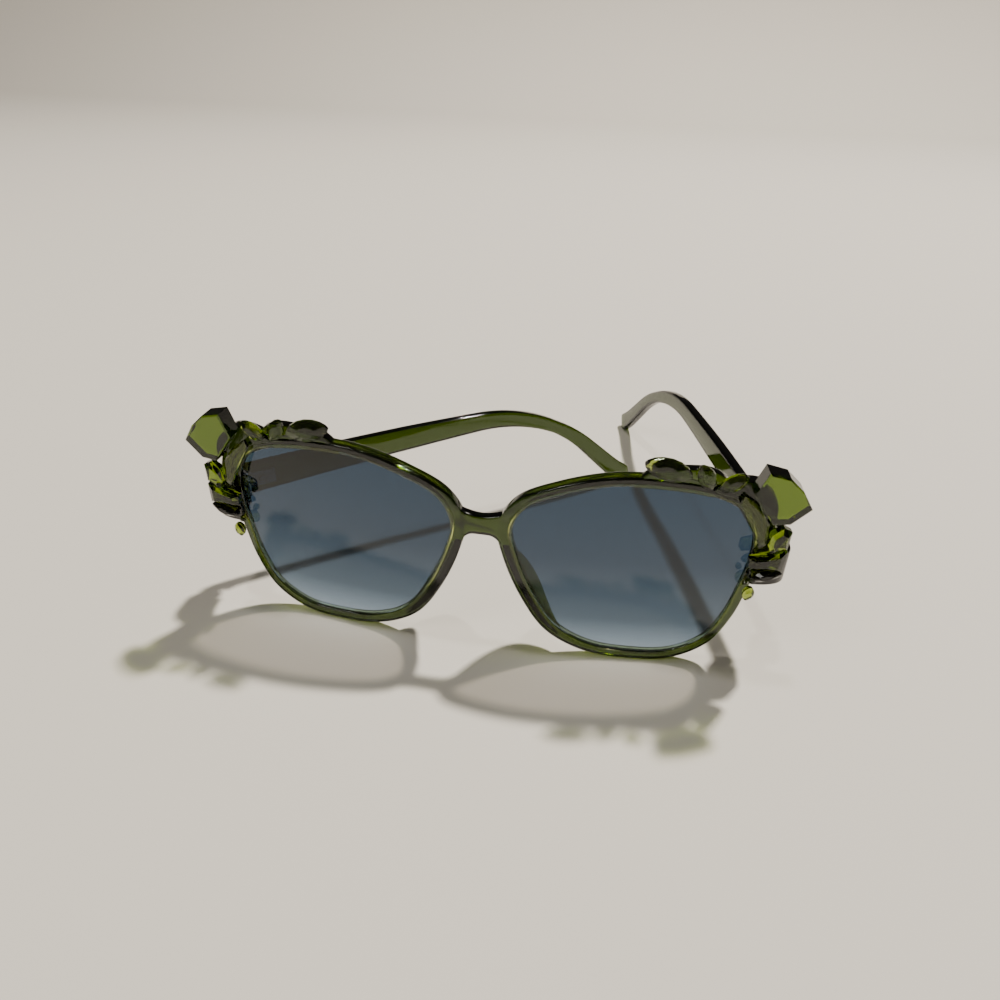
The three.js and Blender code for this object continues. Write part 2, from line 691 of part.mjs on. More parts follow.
function addStone(name, stone, outline, at) {
  const { geometry, middle } = stoneGeometry(outline, stone.thick, stone.table ?? 0.45);
  const x = corner.x + at[0] + middle.x;
  const z = corner.z + at[1] + middle.z;
  const y = frontPoint(x, -stone.seat - stone.thick / 2, z).y;
  const { degToRad } = THREE.MathUtils;
  const turn = new THREE.Euler(degToRad(stone.lean), 0, degToRad(stone.turn));
  const makeMaterial = stoneMaterials[name] ?? stoneResin;
  addPair(`stone_${name}`, geometry, makeMaterial, new THREE.Vector3(x, y, z), turn);
}

addMesh(glasses, 'frame_front', frontMoulding(), greenPlastic);
addPair('lens', lensGeometry(), lensTint, new THREE.Vector3());

const hingePlace = new THREE.Vector3(hingeX, hingeY, HINGE_HEIGHT);
addPair('hinge_front', frontLeafGeometry(), hingeSteel, hingePlace);
addPair('hinge_screw', screwGeometry(), hingeSteel, hingePlace);

addTemplePair('temple', templeWithPocket(), greenPlastic);
addTemplePair('hinge_temple', templeLeafGeometry(), hingeSteel);
addTemplePair('hinge_rivet', rivetGeometry(), hingeSteel);
temples.right.position.copy(hingePlace);
temples.right.rotation.z = FOLD_RIGHT;
temples.left.position.set(-hingeX, hingeY, HINGE_HEIGHT);
temples.left.rotation.z = -FOLD_LEFT;
glasses.add(temples.right, temples.left);

for (const [name, stone] of Object.entries(CUT_STONES)) {
  addStone(name, stone, stone.outline, [0, 0]);
}
for (const [name, stone] of Object.entries(LEAF_STONES)) {
  addStone(name, stone, marquiseOutline(stone.length, stone.width, stone.slope), stone.at);
}

// The origin is on the table, under the middle of the whole object as it stands.
glasses.updateMatrixWorld(true);
const box = new THREE.Box3().setFromObject(glasses, true);
const middle = box.getCenter(new THREE.Vector3());
glasses.position.set(-middle.x, -middle.y, -box.min.z);

export default glasses;
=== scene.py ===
import json
import math

import bmesh
import bpy
import numpy as np
from mathutils import Matrix, Vector


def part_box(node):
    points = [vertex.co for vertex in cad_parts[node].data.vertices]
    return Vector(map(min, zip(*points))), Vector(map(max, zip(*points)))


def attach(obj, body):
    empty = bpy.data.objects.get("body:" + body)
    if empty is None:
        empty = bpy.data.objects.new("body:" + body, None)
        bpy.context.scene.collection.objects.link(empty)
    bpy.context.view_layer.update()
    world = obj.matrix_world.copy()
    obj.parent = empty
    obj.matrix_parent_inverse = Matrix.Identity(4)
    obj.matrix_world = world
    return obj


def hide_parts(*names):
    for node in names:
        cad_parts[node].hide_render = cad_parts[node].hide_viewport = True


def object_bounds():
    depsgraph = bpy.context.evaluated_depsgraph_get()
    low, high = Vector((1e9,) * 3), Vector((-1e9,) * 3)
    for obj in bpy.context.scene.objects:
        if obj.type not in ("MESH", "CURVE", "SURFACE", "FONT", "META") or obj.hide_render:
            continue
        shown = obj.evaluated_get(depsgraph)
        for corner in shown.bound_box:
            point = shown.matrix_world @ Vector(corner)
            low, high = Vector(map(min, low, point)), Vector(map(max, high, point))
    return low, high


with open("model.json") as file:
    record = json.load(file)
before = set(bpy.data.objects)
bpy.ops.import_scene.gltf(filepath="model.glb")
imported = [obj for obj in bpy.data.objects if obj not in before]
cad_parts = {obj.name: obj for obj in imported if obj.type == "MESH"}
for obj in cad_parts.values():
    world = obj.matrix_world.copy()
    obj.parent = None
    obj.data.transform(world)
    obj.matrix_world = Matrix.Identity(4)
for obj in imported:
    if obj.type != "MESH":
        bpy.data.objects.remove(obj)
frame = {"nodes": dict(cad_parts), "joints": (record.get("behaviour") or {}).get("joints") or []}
cad_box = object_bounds()
MM = 0.001
rad = math.radians

# ---- The design's own sizes, in millimetres, and its place in the frame ----------------

LENS_WIDTH, LENS_HEIGHT, LENS_GAP, LENS_THICKNESS = 56.5, 51.0, 15.2, 1.7
RIM_WIDTH, RIM_DEPTH, GROOVE_DEPTH, FIT_GAP = 2.7, 2.9, 0.9, 0.3
LOWER_EXTRA, NOSE_EXTRA = 0.3, 1.0
LENS_BOTTOM = RIM_WIDTH + LOWER_EXTRA
FACE_RADIUS, LENS_RADIUS, FRONT_TILT = 333.0, 1200.0, rad(3.1)
BRIDGE_TOP, BRIDGE_HEIGHT, BRIDGE_RECESS = 42.0, 5.4, 0.1
PAD_DEPTH, PAD_SPLAY, PAD_THICKNESS, WING_RISE = 7.5, 1.6, 1.5, 1.2
HINGE_REACH, HINGE_HEIGHT, END_LENGTH = 5.4, 31.6, 8.2
KNUCKLE_RADIUS, KNUCKLE_HEIGHT = 1.5, 1.9
ANCHOR_LENGTH, ANCHOR_THICKNESS = 3.6, 1.5
LEAF_THICKNESS, LEAF_LENGTH, LEAF_HEIGHT = 1.2, 9.0, 4.4
TEMPLE_THICKNESS = 3.2
TEMPLE_HEIGHTS = [(0.0, 9.2), (0.35, 7.4), (0.72, 4.2), (1.0, 7.0)]
TEMPLE_STRAIGHT, TEMPLE_RISE = 73.9, rad(1.5)
BEND_RADIUS, BEND_ANGLE = 58.0, rad(45)
TEMPLE_BOW, TEMPLE_BOW_AT, TIP_ROUND = 11.4, 140.0, 3.0
TIP_SWEEP, SWEEP_LENGTH = rad(9), 8.0
SECTION_ROUNDING = 0.95   # corner radius of the temple's cross-section
RIVET_RADIUS, RIVET_AT = 0.9, 0.6   # RIVET_AT is a share of the hinge leaf's length
OUTER_WALL = 0.5   # plastic left outside the rivet
PLATE_ROUNDING, BRIDGE_ROUNDING = 0.5, 0.7
RIM_ROUNDING, BEAD_HEIGHT, BEAD_INSET = 0.7, 0.5, 0.8   # the bead is the raised step on the brow
EMBED = 0.5   # how far joined plates run into the rim
RIM_STEPS, LENS_STEPS = 260, 160
STONE_EDGE, STONE_EDGE_ANGLE = 0.06, rad(12)

LENS_SHAPE = [
    (1.0, 0.6), (0.992, 0.76), (0.935, 0.89), (0.81, 0.965), (0.62, 1.0), (0.4, 0.995),
    (0.2, 0.93), (0.06, 0.845), (0.0, 0.72), (0.025, 0.56), (0.11, 0.32), (0.22, 0.13),
    (0.37, 0.03), (0.56, 0.0), (0.74, 0.015), (0.875, 0.11), (0.945, 0.27), (0.978, 0.43),
]
WING_SHAPE = [
    (-12, 1), (-6, 3.4), (-1, 2.8), (2.2, -0.4), (3.4, -6), (4.6, -11), (5, -18.5),
    (2.2, -26), (0.4, -24), (1.6, -14), (-0.5, -6), (-6, -1.6),
]
TAB_SHAPE = [
    (-29.5, 0), (-25.5, 4.8), (-19, 5.6), (-12.5, 5.2), (-9, 3), (-8, -1), (-14, -1.5),
]
TAB_RISE = 0.2
CORNER = (LENS_GAP / 2 + LENS_WIDTH, LENS_BOTTOM + LENS_HEIGHT)
HINGE_X = CORNER[0] + HINGE_REACH
FRONT_HEIGHT = LENS_HEIGHT + LENS_BOTTOM + RIM_WIDTH

joints = {j["child"]: j for j in frame["joints"]}


def front_point(across, depth, up):
    rise = up - FRONT_HEIGHT / 2
    sag = across ** 2 / (2 * FACE_RADIUS) + rise ** 2 / (2 * LENS_RADIUS)
    return (
        across,
        sag + depth * math.cos(FRONT_TILT) - up * math.sin(FRONT_TILT),
        up * math.cos(FRONT_TILT) + depth * math.sin(FRONT_TILT),
    )


HINGE_Y = front_point(HINGE_X, RIM_DEPTH, HINGE_HEIGHT)[1] + END_LENGTH
hinge_at = Vector(joints["temple_right"]["pos_m"])
SHIFT = Vector((0, hinge_at.y - HINGE_Y * MM, hinge_at.z - HINGE_HEIGHT * MM))
FOLD = {
    "right": rad(-joints["temple_right"]["range_deg"][0]),
    "left": -rad(-joints["temple_left"]["range_deg"][0]),
}

# ---- Mesh helpers -------------------------------------------------------------------------


def make_object(name, verts, faces, smooth=40):
    mesh = bpy.data.meshes.new(name)
    mesh.from_pydata([tuple(v) for v in verts], [], faces)
    mesh.update()
    bm = bmesh.new()
    bm.from_mesh(mesh)
    bmesh.ops.recalc_face_normals(bm, faces=bm.faces)
    bm.to_mesh(mesh)
    bm.free()
    obj = bpy.data.objects.new(name, mesh)
    bpy.context.scene.collection.objects.link(obj)
    shade(obj, smooth)
    return obj


def shade(obj, angle):
    mesh = obj.data
    if angle is None:
        mesh.shade_flat()
        return
    mesh.shade_smooth()
    mesh.set_sharp_from_angle(angle=rad(angle))


def skin(rings, loop=False):
    """Vertices and faces over rings of equal size. Ends are closed by one face each."""
    size = len(rings[0])
    verts = [p for ring in rings for p in ring]
    faces = []
    spans = len(rings) if loop else len(rings) - 1
    for i in range(spans):
        here, after = i * size, ((i + 1) % len(rings)) * size
        for j in range(size):
            k = (j + 1) % size
            faces.append((here + j, after + j, after + k, here + k))
    if not loop:
        faces.append(tuple(reversed(range(size))))
        last = (len(rings) - 1) * size
        faces.append(tuple(range(last, last + size)))
    return verts, faces


def mirrored(obj, name):
    copy = obj.copy()
    copy.data = obj.data.copy()
    copy.name = copy.data.name = name
    bpy.context.scene.collection.objects.link(copy)
    copy.data.transform(Matrix.Scale(-1, 4, (1, 0, 0)))
    copy.data.flip_normals()
    return copy


def boolean(base, other, operation):
    """Joins base with other, or cuts other out of it, and removes other."""
    for o in (base, other):
        bm = bmesh.new()
        bm.from_mesh(o.data)
        bmesh.ops.triangulate(bm, faces=bm.faces)
        bm.to_mesh(o.data)
        bm.free()
    mod = base.modifiers.new("join", "BOOLEAN")
    mod.object = other
    mod.operation = operation
    mod.solver = "MANIFOLD"
    deps = bpy.context.evaluated_depsgraph_get()
    mesh = bpy.data.meshes.new_from_object(base.evaluated_get(deps))
    base.modifiers.clear()
    base.data = mesh
    bpy.data.objects.remove(other)


def place(obj):
    """From the design's millimetres to the frame's metres."""
    obj.data.transform(Matrix.Translation(SHIFT) @ Matrix.Scale(MM, 4))
    return obj


def catmull(points, per_span):
    """A centripetal curve through a closed loop of points."""
    pts = np.array(points, float)
    n = len(pts)
    out = []
    for i in range(n):
        p0, p1, p2, p3 = pts[[(i - 1) % n, i, (i + 1) % n, (i + 2) % n]]
        d = [np.linalg.norm(b - a) ** 0.5 for a, b in ((p0, p1), (p1, p2), (p2, p3))]
        t1 = (p1 - p0) / d[0] - (p2 - p0) / (d[0] + d[1]) + (p2 - p1) / d[1]
        t2 = (p2 - p1) / d[1] - (p3 - p1) / (d[1] + d[2]) + (p3 - p2) / d[2]
        t1, t2 = t1 * d[1], t2 * d[1]
        for s in np.arange(per_span) / per_span:
            a, b = 2 * s ** 3 - 3 * s ** 2 + 1, s ** 3 - 2 * s ** 2 + s
            c, e = -2 * s ** 3 + 3 * s ** 2, s ** 3 - s ** 2
            out.append(a * p1 + b * t1 + c * p2 + e * t2)
    return np.array(out)


def even(points, count):
    """count points spaced evenly along a closed loop."""
    pts = np.vstack([points, points[:1]])
    length = np.concatenate([[0], np.cumsum(np.linalg.norm(np.diff(pts, axis=0), axis=1))])
    at = np.linspace(0, length[-1], count + 1)[:-1]
    return np.stack([np.interp(at, length, pts[:, k]) for k in range(pts.shape[1])], 1)


def outward(points):
    """Outward direction at each point of an anticlockwise closed outline."""
    tangent = np.roll(points, -1, 0) - np.roll(points, 1, 0)
    tangent /= np.linalg.norm(tangent, axis=1)[:, None]
    return np.stack([tangent[:, 1], -tangent[:, 0]], 1)


def lens_outline(count):
    shape = [
        (LENS_GAP / 2 + u * LENS_WIDTH, LENS_BOTTOM + v * LENS_HEIGHT) for u, v in LENS_SHAPE
    ]
    points = even(catmull(shape, 24), count)
    return points, outward(points)


def rounded_plate(name, outline, near, far, radius, to_world, steps=4):
    """A plate over a flat anticlockwise outline, from near to far in depth. Its rims are
    rounded, and to_world turns across, depth and up into a place."""
    pts = np.array(outline, float)
    out = outward(pts)
    profile = []
    for i in range(steps + 1):
        a = math.pi / 2 * i / steps
        profile.append((near + radius * (1 - math.sin(a)), radius * (1 - math.cos(a))))
    profile = profile[::-1]
    profile += [(near + far - d, inset) for d, inset in reversed(profile)]
    rings = []
    for depth, inset in profile:
        rings.append([to_world(p[0], depth, p[1]) for p in pts - out * inset])
    return make_object(name, *skin(rings))


def block(name, low, high):
    x0, y0, z0 = low
    x1, y1, z1 = high
    ring = [(x0, y0), (x1, y0), (x1, y1), (x0, y1)]
    return make_object(name, *skin([[(x, y, z) for x, y in ring] for z in (z0, z1)]))


# ---- Front moulding ----------------------------------------------------------------------


def smoothstep(low, high, x):
    t = min(max((x - low) / (high - low), 0), 1)
    return t * t * (3 - 2 * t)


def rim_width(out):
    lower = LOWER_EXTRA * max(0, -out[1]) ** 2
    nose = NOSE_EXTRA * max(0, -out[0]) ** 2
    return RIM_WIDTH + lower + nose


GROOVE_FRONT = (RIM_DEPTH - LENS_THICKNESS) / 2 - FIT_GAP
GROOVE_BACK = RIM_DEPTH - GROOVE_FRONT


def arc(cx, cy, r, start, stop, steps):
    angles = np.linspace(rad(start), rad(stop), steps + 1)
    return [(cx + r * math.cos(a), cy + r * math.sin(a)) for a in angles]


def rim_section(width, bead):
    """(distance out, depth) round the rim. bead is 1 where the raised bead of the brow stands
    at its full height and 0 where there is none."""
    r = RIM_ROUNDING
    lip = [(0.06, 0.28), (0.22, 0.1), (0.45, 0.03)]
    inner = [(0, 0.55)] + lip
    lift = -BEAD_HEIGHT * bead
    front = []
    for t in np.linspace(0, 1, 12):
        out = BEAD_INSET + (width - r - BEAD_INSET) * t
        front.append((out, lift * math.sin(math.pi * min(0.5, t)) ** 0.5))
    shoulder = [(width - r + r * math.sin(a), r + lift - r * math.cos(a))
                for a in np.linspace(0.2, math.pi / 2, 6)]
    back = [(width - r + r * math.cos(a), RIM_DEPTH - r + r * math.sin(a))
            for a in np.linspace(0, math.pi / 2, 6)]
    back += [(out, RIM_DEPTH - depth) for out, depth in reversed(lip)]
    groove = [
        (0, GROOVE_BACK), (GROOVE_DEPTH, GROOVE_BACK), (GROOVE_DEPTH, GROOVE_FRONT),
        (0, GROOVE_FRONT),
    ]
    return inner + front + shoulder + back + groove


def section_ring(p, out, section):
    """A cross-section of (distance out, depth) stood on the lens outline at p."""
    return [front_point(p[0] + d * out[0], depth, p[1] + d * out[1]) for d, depth in section]


def rim():
    rings = []
    for p, out in zip(*lens_outline(RIM_STEPS)):
        bead = smoothstep(0.3, 0.5, out[1])
        rings.append(section_ring(p, out, rim_section(rim_width(out), bead)))
    return make_object("rim", *skin(rings, loop=True))


def nose_pad():
    """A ridge on the back of the rim that swells and splays toward its middle."""
    points, outs = lens_outline(RIM_STEPS)
    facing_nose, pad_top, root = -0.55, BRIDGE_TOP - 7, RIM_DEPTH - 0.6
    keep = [i for i in range(RIM_STEPS) if outs[i][0] < facing_nose and points[i][1] < pad_top]
    rings = []
    for n, i in enumerate(keep):
        p, out = points[i], outs[i]
        swell = math.sin(math.pi * n / (len(keep) - 1)) ** 0.8
        stand = PAD_DEPTH * swell + 0.3
        start = rim_width(out) - PAD_THICKNESS - 0.3
        splay = PAD_SPLAY * swell
        r = min(0.45, stand * 0.4)
        section = [(start, root), (start + PAD_THICKNESS, root)]
        section += [(start + PAD_THICKNESS - splay * 0.8, root + stand * 0.8)]
        tip_out, tip_in = start + PAD_THICKNESS - splay, start + 0.3 - splay
        middle = (tip_out + tip_in) / 2
        half = (tip_out - tip_in) / 2
        for a in np.linspace(0.1, math.pi - 0.1, 7):
            section.append((middle + half * math.cos(a), root + stand - r + r * math.sin(a)))
        section.append((start + 0.1 - splay * 0.7, root + stand * 0.75))
        rings.append(section_ring(p, out, section))
    return make_object("pad", *skin(rings))


def carrier(corners, rise):
    """A plate that carries stones, with its corners given from the lens's upper outer corner."""
    shape = [(CORNER[0] + x, CORNER[1] + z) for x, z in corners]
    outline = even(catmull(shape, 12), 120)[::-1]
    return rounded_plate("carrier", outline, -rise, RIM_DEPTH - EMBED, PLATE_ROUNDING,
                         front_point)


def bezier(p0, p1, p2, steps=10):
    p0, p1, p2 = np.array(p0), np.array(p1), np.array(p2)
    return [tuple((1 - t) ** 2 * p0 + 2 * t * (1 - t) * p1 + t * t * p2)
            for t in np.linspace(0, 1, steps + 1)]


def bridge():
    half = LENS_GAP / 2
    gap = half - RIM_WIDTH - NOSE_EXTRA
    bottom = BRIDGE_TOP - BRIDGE_HEIGHT
    right = bezier((0, BRIDGE_TOP), (gap, BRIDGE_TOP), (half + 1.6, BRIDGE_TOP + 3.4), 14)
    right += [(half + 0.4, bottom + 1), (gap + 1.2, bottom - 3)]
    right += bezier((gap + 1.2, bottom - 3), (gap - 0.2, bottom), (gap - 2.2, bottom), 8)[1:]
    left = [(-x, z) for x, z in reversed(right)]
    outline = (right + left[:-1])[::-1]
    return rounded_plate("bridge", outline, BRIDGE_RECESS, RIM_DEPTH - BRIDGE_RECESS,
                         BRIDGE_ROUNDING, front_point)


SEAT_Y = HINGE_Y - KNUCKLE_RADIUS - FIT_GAP
BUTT_Y = HINGE_Y - FIT_GAP / 2
TEMPLE_INNER = KNUCKLE_RADIUS + FIT_GAP
BARREL_HALF = 1.5 * KNUCKLE_HEIGHT + FIT_GAP


def end_piece():
    outer = HINGE_X + TEMPLE_INNER + TEMPLE_THICKNESS
    inner = HINGE_X - KNUCKLE_RADIUS - 0.6
    root_out = CORNER[0] + RIM_WIDTH - EMBED
    root_in = CORNER[0] + 1.2
    root_front = front_point(root_out, 0.3, HINGE_HEIGHT)[1]
    root_back = front_point(root_in, RIM_DEPTH - 0.4, HINGE_HEIGHT)[1]
    outline = bezier((root_out, root_front), (outer, root_front + 0.6),
                     (outer, (root_front + BUTT_Y) / 2), 12)
    outline += [(outer, BUTT_Y), (HINGE_X + TEMPLE_INNER, BUTT_Y)]
    outline += [(HINGE_X + TEMPLE_INNER, SEAT_Y), (inner, SEAT_Y)]
    outline += bezier((inner, SEAT_Y), (inner, root_back + 1.5), (root_in, root_back), 8)[1:]
    half = TEMPLE_HEIGHTS[0][1] / 2
    return rounded_plate("end", outline, HINGE_HEIGHT - half, HINGE_HEIGHT + half,
                         PLATE_ROUNDING, lambda x, z, y: (x, y, z))


def lens_clearance():
    """The room of a lens and its groove, which is kept free of the plates that meet the rim."""
    points, outs = lens_outline(RIM_STEPS)
    rings = []
    for out, depth in ((0, -3), (0, GROOVE_FRONT), (GROOVE_DEPTH, GROOVE_FRONT),
                       (GROOVE_DEPTH, GROOVE_BACK), (0, GROOVE_BACK), (0, RIM_DEPTH + 0.5)):
        at = points + outs * out
        rings.append([front_point(p[0], depth, p[1]) for p in at])
    return make_object("clear", *skin(rings))


def frame_moulding():
    side = ANCHOR_THICKNESS / 2 + FIT_GAP
    half = BARREL_HALF + FIT_GAP
    right = rim()
    carriers = (carrier(WING_SHAPE, WING_RISE), carrier(TAB_SHAPE, TAB_RISE))
    for piece in (nose_pad(), end_piece(), *carriers):
        boolean(right, piece, "UNION")
    pocket = block("pocket",
                   (HINGE_X - side, SEAT_Y - ANCHOR_LENGTH - FIT_GAP, HINGE_HEIGHT - half),
                   (HINGE_X + side, SEAT_Y + 1, HINGE_HEIGHT + half))
    boolean(right, pocket, "DIFFERENCE")
    left = mirrored(right, "rim_left")
    boolean(right, left, "UNION")
    boolean(right, bridge(), "UNION")
    cut = lens_clearance()
    cut_left = mirrored(cut, "clear_left")
    boolean(right, cut, "DIFFERENCE")
    boolean(right, cut_left, "DIFFERENCE")
    right.name = right.data.name = "frame_moulding"
    return place(right)


# ---- Lenses --------------------------------------------------------------------------------


def lens():
    points, outs = lens_outline(LENS_STEPS)
    edge = points + outs * (GROOVE_DEPTH - FIT_GAP)
    middle = edge.mean(0)
    near = (RIM_DEPTH - LENS_THICKNESS) / 2
    shares = (0.04, 0.12, 0.25, 0.4, 0.55, 0.7, 0.85, 1)
    sides = [(share, near) for share in shares]
    sides += [(share, near + LENS_THICKNESS) for share in reversed(shares)]
    rings = []
    for share, depth in sides:
        ring = middle + (edge - middle) * share
        rings.append([front_point(x, depth, z) for x, z in ring])
    return place(make_object("lens_pane_right", *skin(rings)))


# ---- Temples --------------------------------------------------------------------------------


def rounded_section(half_x, half_z, radius, steps=5):
    r = min(radius, half_x * 0.95, half_z * 0.95)
    out = []
    for cx, cz, start in ((half_x - r, half_z - r, 0), (r - half_x, half_z - r, 90),
                          (r - half_x, r - half_z, 180), (half_x - r, r - half_z, 270)):
        out += arc(cx, cz, r, start, start + 90, steps)
    return out


def temple():
    """The right temple, fully open, with its hinge axis at the origin. Each station is
    (length along, distance back, height, heading, share of the full cross-section)."""
    stations = [(0, 0, 0, 0, 1)]
    along = back = height = 0

    def advance(length, steps, heading_at, share_at=lambda t: 1):
        nonlocal along, back, height
        for i in range(steps):
            heading = heading_at((i + 0.5) / steps)
            along += length / steps
            back += length / steps * math.cos(heading)
            height += length / steps * math.sin(heading)
            t = (i + 1) / steps
            stations.append((along, back, height, heading_at(t), share_at(t)))

    end = TEMPLE_RISE - BEND_ANGLE
    advance(TEMPLE_STRAIGHT, 30, lambda t: TEMPLE_RISE)
    advance(BEND_RADIUS * BEND_ANGLE, 30, lambda t: TEMPLE_RISE - t * BEND_ANGLE)
    tip = TEMPLE_HEIGHTS[-1][1]
    reach = tip / 2 * math.cos(end + TIP_SWEEP) + SWEEP_LENGTH * math.sin(-end - TIP_SWEEP / 2)
    advance((HINGE_HEIGHT + height - reach) / math.sin(-end), 12, lambda t: end)
    advance(SWEEP_LENGTH, 8, lambda t: end + t * TIP_SWEEP)
    advance(TIP_ROUND, 10, lambda t: end + TIP_SWEEP,
            lambda t: 0.2 + 0.8 * (1 - t ** 1.25) ** 0.7)
    total = along
    shares = [s for s, _ in TEMPLE_HEIGHTS]
    tall = [h for _, h in TEMPLE_HEIGHTS]
    rings = []
    for along_, back_, height_, heading, share in stations:
        high = np.interp(along_ / total, shares, tall) * share
        inward = TEMPLE_BOW * (back_ / TEMPLE_BOW_AT) ** 2
        ring = []
        thin = TEMPLE_THICKNESS / 2 * (0.35 + 0.65 * share)
        for across, up in rounded_section(thin, high / 2, SECTION_ROUNDING):
            ring.append((
                TEMPLE_INNER + TEMPLE_THICKNESS / 2 - inward + across,
                FIT_GAP / 2 + back_ - up * math.sin(heading),
                height_ + up * math.cos(heading),
            ))
        rings.append(ring)
    obj = make_object("temple_arm", *skin(rings))
    half = LEAF_HEIGHT / 2 + FIT_GAP
    wall = TEMPLE_INNER + LEAF_THICKNESS + FIT_GAP
    pocket = block("pocket", (TEMPLE_INNER - 2, -1, -half), (wall, LEAF_LENGTH + FIT_GAP, half))
    boolean(obj, pocket, "DIFFERENCE")
    sides = 16
    ring = arc(LEAF_LENGTH * RIVET_AT, 0, RIVET_RADIUS, 0, 360 - 360 / sides, sides - 1)
    ends = (TEMPLE_INNER - 1, TEMPLE_INNER + TEMPLE_THICKNESS - OUTER_WALL)
    hole = make_object("hole", *skin([[(x, y, z) for y, z in ring] for x in ends]))
    boolean(obj, hole, "DIFFERENCE")
    return obj


def place_temples():
    right = temple()
    left = mirrored(right, "temple_arm_left")
    right.name = "temple_arm_right"
    for obj, side in ((right, "right"), (left, "left")):
        at = Vector(joints[f"temple_{side}"]["pos_m"])
        turn = Matrix.Rotation(FOLD[side], 4, "Z")
        obj.data.transform(Matrix.Translation(at) @ turn @ Matrix.Scale(MM, 4))
        shade(obj, 40)
    return right, left


# ---- Stones ---------------------------------------------------------------------------------

# Outlines and places are from the lens's upper outer corner. seat is how far the back of a stone
# stands before the face. table, back and girdle are shares, crown is the height of the bevel.
CUT_STONES = {
    "corner": dict(
        outline=[(-1.8, 8.8), (2.9, 7.6), (6.4, 4.3), (9.2, -0.1), (5.4, -4.4), (1.6, -4.8),
                 (-3.8, 2.8)],
        seat=2.1, thick=4.6, table=0.93, crown=0.3, back=0.93, girdle=0.92, lean=4, turn=6),
    "petal": dict(
        outline=[(-4.8, 0.4), (-1, -2.6), (2, -7), (2.2, -12.6), (0.8, -13.6), (-1.2, -9.2),
                 (-4, -4.4), (-5.8, -1.4)],
        seat=1.8, thick=1.2, table=0.8, crown=0.3, back=0.9, girdle=0.8, lean=0, turn=6),
    "kite": dict(
        outline=[(7.2, -8), (7, -12.7), (3.6, -14.6), (2.6, -12.4), (2.8, -9.2), (5.2, -7)],
        seat=1.7, thick=3.4, table=0.6, crown=0.9, back=0.85, girdle=0.8, lean=0, turn=6),
    "trapezoid": dict(
        outline=[(7.4, -13.7), (7.2, -19.1), (2.8, -18.7), (-0.8, -18.9), (-0.9, -16.2),
                 (3.2, -15.3)],
        seat=1.7, thick=3.2, table=0.66, crown=0.9, back=0.85, girdle=0.8, lean=0, turn=6),
}
LEAF_STONES = {
    "large_leaf": dict(
        at=(-22.5, 6.1), length=11, width=5.6, slope=-13, seat=0.6, thick=2.4, lean=3, turn=2),
    "small_leaf": dict(
        at=(-14, 4.6), length=6.8, width=4, slope=-62, seat=0.8, thick=2.0, lean=4, turn=4),
    "medium_leaf": dict(
        at=(-8, 3.9), length=6.8, width=4, slope=35, seat=1.7, thick=2.2, lean=4, turn=5),
    "marquise": dict(
        at=(4, -21.3), length=7.6, width=3, slope=17, seat=1.8, thick=3, lean=0, turn=6),
    "link": dict(
        at=(-0.2, -23.9), length=1.7, width=1.6, slope=60, seat=1.7, thick=1.6, lean=0, turn=6),
    "drop": dict(
        at=(1.2, -27.4), length=4, width=2.8, slope=80, seat=1.7, thick=2.2, lean=0, turn=6),
}
LEAF_CUT = dict(table=0.45, back=0.8, girdle=0.7)
LEAF_CROWN = 0.35   # a share of the thickness


def marquise(length, width, slope, sides=8):
    spin = rad(slope)
    out = []
    for i in range(2 * sides):
        t = math.pi * i / sides
        x = length / 2 * math.cos(t)
        z = width / 2 * math.sin(t) * abs(math.sin(t)) ** 0.3
        out.append((x * math.cos(spin) - z * math.sin(spin),
                    x * math.sin(spin) + z * math.cos(spin)))
    return out


def stone(name, outline, thick, table, crown, back, girdle):
    """A cut stone round its own middle, with its table at -Y and its back at +Y. The facets
    between the girdle and the back alternate, because the back's corners lie over the middles
    of the sides."""
    pts = np.array(outline, float)
    middle = pts.mean(0)
    pts = pts - middle
    mids = (pts + np.roll(pts, -1, 0)) / 2
    front, rear = -thick / 2, thick / 2
    girdle_y = front + crown
    wall_y = front + thick * girdle
    n = len(pts)
    verts = [(x, girdle_y, z) for x, z in pts]
    verts += [(x, wall_y, z) for x, z in pts]
    verts += [(x * table, front, z * table) for x, z in pts]
    verts += [(x * back, rear, z * back) for x, z in mids]
    faces = [tuple(range(2 * n, 3 * n)), tuple(range(3 * n, 4 * n))]
    for i in range(n):
        j = (i + 1) % n
        faces.append((i, j, n + j, n + i))
        faces.append((2 * n + i, 2 * n + j, j, i))
        faces.append((n + i, n + j, 3 * n + i))
        faces.append((n + j, 3 * n + j, 3 * n + i))
    obj = make_object(name, verts, faces, None)
    bevel = obj.modifiers.new("edge", "BEVEL")
    bevel.width = STONE_EDGE
    bevel.segments = 1
    bevel.limit_method = "ANGLE"
    bevel.angle_limit = STONE_EDGE_ANGLE
    deps = bpy.context.evaluated_depsgraph_get()
    mesh = bpy.data.meshes.new_from_object(obj.evaluated_get(deps))
    obj.modifiers.clear()
    obj.data = mesh
    return obj, middle


